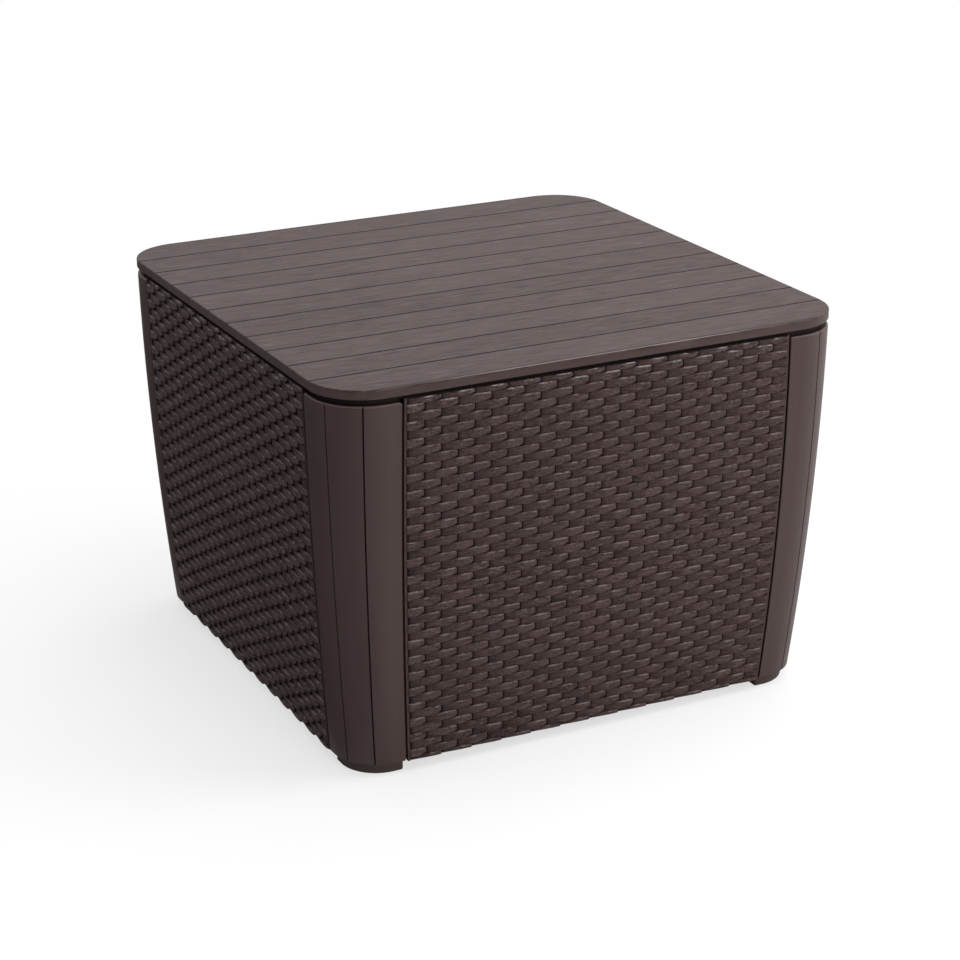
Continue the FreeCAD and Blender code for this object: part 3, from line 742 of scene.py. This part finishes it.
def plain_finish(name, colour, roughness, gloss):
    """Plain moulded resin with clouding, flow marks and fine grit."""
    material, tree, shader, place = new_finish(name, gloss)
    cloud = noise(tree, place, scale=9.0, detail=3.0)
    flow = noise(tree, stretched(tree, place, 3.0, 3.0, 22.0), scale=4.0, detail=3.0)
    tone = cloud * 0.22 + flow * 0.14 + 0.82
    plug(tree, shader.inputs["Base Color"], toned(tree, colour, tone))
    plug(tree, shader.inputs["Roughness"], cloud * 0.14 + roughness)
    moulded_grit(tree, shader, place, 0.05 * MILLIMETRE)
    return material


def steel_finish(colours):
    """Zinc-plated steel with fine tool marks and dull patches."""
    material, tree, shader, place = new_finish("screw_steel", gloss=0.5)
    marks = noise(tree, place, scale=2600.0)
    patch = noise(tree, place, scale=260.0, detail=3.0)
    plug(tree, shader.inputs["Base Color"], toned(tree, colours.screws, patch * 0.3 + 0.82))
    plug(tree, shader.inputs["Roughness"], marks * 0.25 + patch * 0.15 + 0.18)
    shader.inputs["Metallic"].default_value = 1.0
    dented(tree, shader, marks, 0.02 * MILLIMETRE)
    return material


def paint(material, *nodes):
    """Gives CAD nodes a finish."""
    for name in nodes:
        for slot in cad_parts[name].material_slots:
            slot.material = material


# Operators


class FinishLid(bpy.types.Operator):
    """Wood streaks, painted shade in the grooves and painted edge highlights on the plank lid"""

    bl_idname = "cover_table.finish_lid"
    bl_label = "Finish the lid"

    def execute(self, context):
        colours = context.scene.cover_table_colours
        paint(lid_finish(context.scene.cover_table_lid, colours), "lid_top")
        return {"FINISHED"}


class FinishPosts(bpy.types.Operator):
    """Upright streaks on the corner posts"""

    bl_idname = "cover_table.finish_posts"
    bl_label = "Finish the posts"

    def execute(self, context):
        colours = context.scene.cover_table_colours
        material = post_finish(context.scene.cover_table_wall, colours)
        paint(material, *["post_outer_" + corner for corner in CORNERS])
        return {"FINISHED"}


class WeaveWalls(bpy.types.Operator):
    """Moulded rattan strands on the four wall panels"""

    bl_idname = "cover_table.weave_walls"
    bl_label = "Weave the walls"

    def execute(self, context):
        colours = context.scene.cover_table_colours
        wall = context.scene.cover_table_wall
        values = weave_values(context, rattan_finish(wall, colours))
        tree = weave_tree(values)
        border = {"Rim half width": wall.rim_half, "Rim top": wall.rim_top}
        for turn, side in enumerate(SIDES):
            own = dict(values, Turn=turn * QUARTER_TURN, **(border if side == "rear" else {}))
            piece = made_by_nodes("weave_" + side, tree, own)
            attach(piece, "base")
        paint(recess_finish(wall, colours), *["panel_" + side for side in SIDES])
        return {"FINISHED"}


class FinishInside(bpy.types.Operator):
    """Plain moulded resin on the liner, the inner post halves, the floor and the feet, with the liner darker
    as painted shade
    """

    bl_idname = "cover_table.finish_inside"
    bl_label = "Finish the inside and the feet"

    def execute(self, context):
        colours = context.scene.cover_table_colours
        inside = plain_finish("inner_resin", colours.inside, roughness=0.42, gloss=0.2)
        paint(inside, "floor_panel", *["post_inner_" + corner for corner in CORNERS])
        # The liner gets a darker copy of the inside colour: painted shade under the lid
        shaded = [part * LINER_SHADE for part in colours.inside]
        paint(plain_finish("liner_resin_shaded", shaded, roughness=0.6, gloss=0.05), "lid_liner")
        feet = plain_finish("foot_resin", colours.feet, roughness=0.48, gloss=0.2)
        paint(feet, *["foot_" + corner for corner in CORNERS])
        return {"FINISHED"}


class FinishScrews(bpy.types.Operator):
    """Plated steel on all the screws"""

    bl_idname = "cover_table.finish_screws"
    bl_label = "Finish the screws"

    def execute(self, context):
        colours = context.scene.cover_table_colours
        paint(steel_finish(colours), *SCREW_NODES)
        return {"FINISHED"}


# Studio


def white_behind(tree, lit):
    """Shader strength: full white to the camera and in reflections, and a lower strength as light."""
    white = 1.0
    path = tree.nodes.new("ShaderNodeLightPath")
    seen = Flow(tree, path.outputs["Is Camera Ray"])
    seen = seen.at_least(path.outputs["Is Glossy Ray"]).at_least(path.outputs["Is Transmission Ray"])
    return seen * (white - lit) + lit


def make_sky(studio):
    """Plain white all round, which lights the table more weakly than it looks."""
    world = bpy.data.worlds.new("studio_sky")
    tree = bare_tree(world)
    sky = add_node(tree, "ShaderNodeBackground",
                   {"Color": (1.0, 1.0, 1.0, 1.0), "Strength": white_behind(tree, studio.sky)})
    add_node(tree, "ShaderNodeOutputWorld", {"Surface": sky.outputs[0]})
    bpy.context.scene.world = world


def make_sheet(name, corners, material):
    """A flat sheet that belongs to the studio and not to the table."""
    mesh = bpy.data.meshes.new(name)
    mesh.from_pydata(corners, [], [(0, 1, 2, 3)])
    mesh.materials.append(material)
    sheet = bpy.data.objects.new(name, mesh)
    bpy.context.scene.collection.objects.link(sheet)
    return sheet


def make_floor(studio):
    """A wide pale floor that keeps the table's soft shadow and turns plain white further out.

    The camera sees it darker but glowing, which makes the shadow paler.
    """
    reach = 9.0
    shadow_end, white_start = 0.7, 1.7
    pale, pale_as_seen = 0.8, 0.36
    material = bpy.data.materials.new("studio_floor")
    tree = bare_tree(material)
    place = tree.nodes.new("ShaderNodeTexCoord").outputs["Object"]
    distance = add_node(tree, "ShaderNodeVectorMath", {0: place}, operation="LENGTH")
    far = Flow(tree, distance.outputs["Value"]).eased(shadow_end, white_start)
    path = tree.nodes.new("ShaderNodeLightPath")
    seen = Flow(tree, path.outputs["Is Camera Ray"])
    paleness = seen * (pale_as_seen - pale) + pale
    paper = add_node(tree, "ShaderNodeBsdfDiffuse", {"Color": combined(tree, paleness, paleness, paleness)})
    glow = add_node(tree, "ShaderNodeEmission", {"Strength": seen * studio.floor_glow})
    near_floor = add_node(tree, "ShaderNodeAddShader", {0: paper.outputs[0], 1: glow.outputs[0]})
    white = add_node(tree, "ShaderNodeEmission", {"Strength": 1.0})
    mixed = add_node(tree, "ShaderNodeMixShader",
                     {"Fac": far * seen, 1: near_floor.outputs[0], 2: white.outputs[0]})
    add_node(tree, "ShaderNodeOutputMaterial", {"Surface": mixed.outputs[0]})
    corners = [(-reach, -reach, 0), (reach, -reach, 0), (reach, reach, 0), (-reach, reach, 0)]
    make_sheet("studio_floor", corners, material)


def make_card(name, middle, side, up, blocks_light):
    """A black card that the camera doesn't see, which darkens what the walls reflect on its side.

    It reaches from its middle by side and up both ways.
    """
    material = bpy.data.materials.new(name)
    tree = bare_tree(material)
    black = add_node(tree, "ShaderNodeBsdfDiffuse", {"Color": (0.02, 0.02, 0.02, 1.0)})
    add_node(tree, "ShaderNodeOutputMaterial", {"Surface": black.outputs[0]})
    middle, side, up = Vector(middle), Vector(side), Vector(up)
    corners = [middle - side - up, middle + side - up, middle + side + up, middle - side + up]
    card = make_sheet(name, corners, material)
    card.visible_camera = False
    card.visible_diffuse = blocks_light
    card.visible_shadow = blocks_light


def make_lamp(name, power, side, place):
    """A large soft square light that faces the table and shines half as much in reflections."""
    light = bpy.data.lights.new(name, "AREA")
    light.energy = power
    light.size = side
    light.specular_factor = 0.5
    lamp = bpy.data.objects.new(name, light)
    bpy.context.scene.collection.objects.link(lamp)
    aim = Vector(TABLE_MIDDLE) - Vector(place)
    lamp.location = place
    lamp.rotation_mode = "QUATERNION"
    lamp.rotation_quaternion = aim.to_track_quat("-Z", "Y")


def make_camera(studio):
    """The camera at the photograph's angle, rolled a little."""
    data = bpy.data.cameras.new("studio_camera")
    data.lens = studio.lens
    data.sensor_width = 36.0
    data.clip_end = 100.0
    camera = bpy.data.objects.new("studio_camera", data)
    bpy.context.scene.collection.objects.link(camera)
    forward = (Vector(studio.camera_target) - Vector(studio.camera_place)).normalized()
    right = forward.cross(Vector((0, 0, 1))).normalized()
    up = right.cross(forward)
    roll = studio.camera_roll
    rolled_right = right * math.cos(roll) + up * math.sin(roll)
    rolled_up = up * math.cos(roll) - right * math.sin(roll)
    turn = Matrix((rolled_right, rolled_up, -forward)).transposed()
    camera.matrix_world = Matrix.Translation(studio.camera_place) @ turn.to_4x4()
    bpy.context.scene.camera = camera


class BuildStudio(bpy.types.Operator):
    """White floor and surroundings, soft lights, black cards and the camera"""

    bl_idname = "cover_table.build_studio"
    bl_label = "Build the studio"

    def execute(self, context):
        studio = context.scene.cover_table_studio
        make_sky(studio)
        make_floor(studio)
        make_lamp("studio_key", studio.key, side=1.6, place=(2.3, -1.3, 1.5))
        make_lamp("studio_front", studio.front, side=1.2, place=(0.1, -3.4, 1.3))
        make_lamp("studio_left", studio.left, side=1.6, place=(-3.2, 0.9, 1.2))
        make_lamp("studio_top", studio.top, side=2.2, place=(0.5, 0.15, 2.55))
        make_card("studio_flag", middle=(-1.7, -1.5, 0.8), side=(0.62, -0.7, 0.0),
                  up=(0.0, 0.0, 0.8), blocks_light=True)
        make_card("studio_floor_card", middle=(-1.41, 0.9, 0.002), side=(1.05, 0.0, 0.0),
                  up=(0.0, 1.6, 0.0), blocks_light=False)
        make_card("studio_side_card", middle=(-2.5, 1.2, 1.0), side=(0.0, 2.2, 0.0),
                  up=(0.0, 0.0, 1.0), blocks_light=False)
        make_camera(studio)
        context.scene.view_settings.view_transform = "Standard"
        return {"FINISHED"}


class CoverTablePanel(bpy.types.Panel):
    """Lists the table's settings and what makes each part of it"""

    bl_idname = "VIEW3D_PT_cover_table"
    bl_label = "Cover table"
    bl_space_type = "VIEW_3D"
    bl_region_type = "UI"
    bl_category = "Cover table"

    def draw(self, context):
        for name in SETTINGS:
            box = self.layout.box()
            group = getattr(context.scene, name)
            for item in group.bl_rna.properties:
                if item.identifier not in ("rna_type", "name"):
                    box.prop(group, item.identifier)
        for operator in OPERATORS:
            self.layout.operator(operator.bl_idname)


SETTINGS = {"cover_table_lid": LidShape, "cover_table_wall": WallShape, "cover_table_weave": WeaveSizes,
            "cover_table_colours": ResinColours, "cover_table_studio": StudioSettings}
OPERATORS = (FinishLid, FinishPosts, WeaveWalls, FinishInside, FinishScrews, BuildStudio)


def register():
    for kind in (*SETTINGS.values(), *OPERATORS, CoverTablePanel):
        bpy.utils.register_class(kind)
    for name, kind in SETTINGS.items():
        setattr(bpy.types.Scene, name, bpy.props.PointerProperty(type=kind))


def unregister():
    for name in SETTINGS:
        delattr(bpy.types.Scene, name)
    for kind in (CoverTablePanel, *reversed(OPERATORS), *reversed(tuple(SETTINGS.values()))):
        bpy.utils.unregister_class(kind)


def main():
    register()
    bpy.ops.cover_table.finish_lid()
    bpy.ops.cover_table.finish_posts()
    bpy.ops.cover_table.weave_walls()
    bpy.ops.cover_table.finish_inside()
    bpy.ops.cover_table.finish_screws()
    bpy.ops.cover_table.build_studio()


if __name__ == "__main__":
    main()
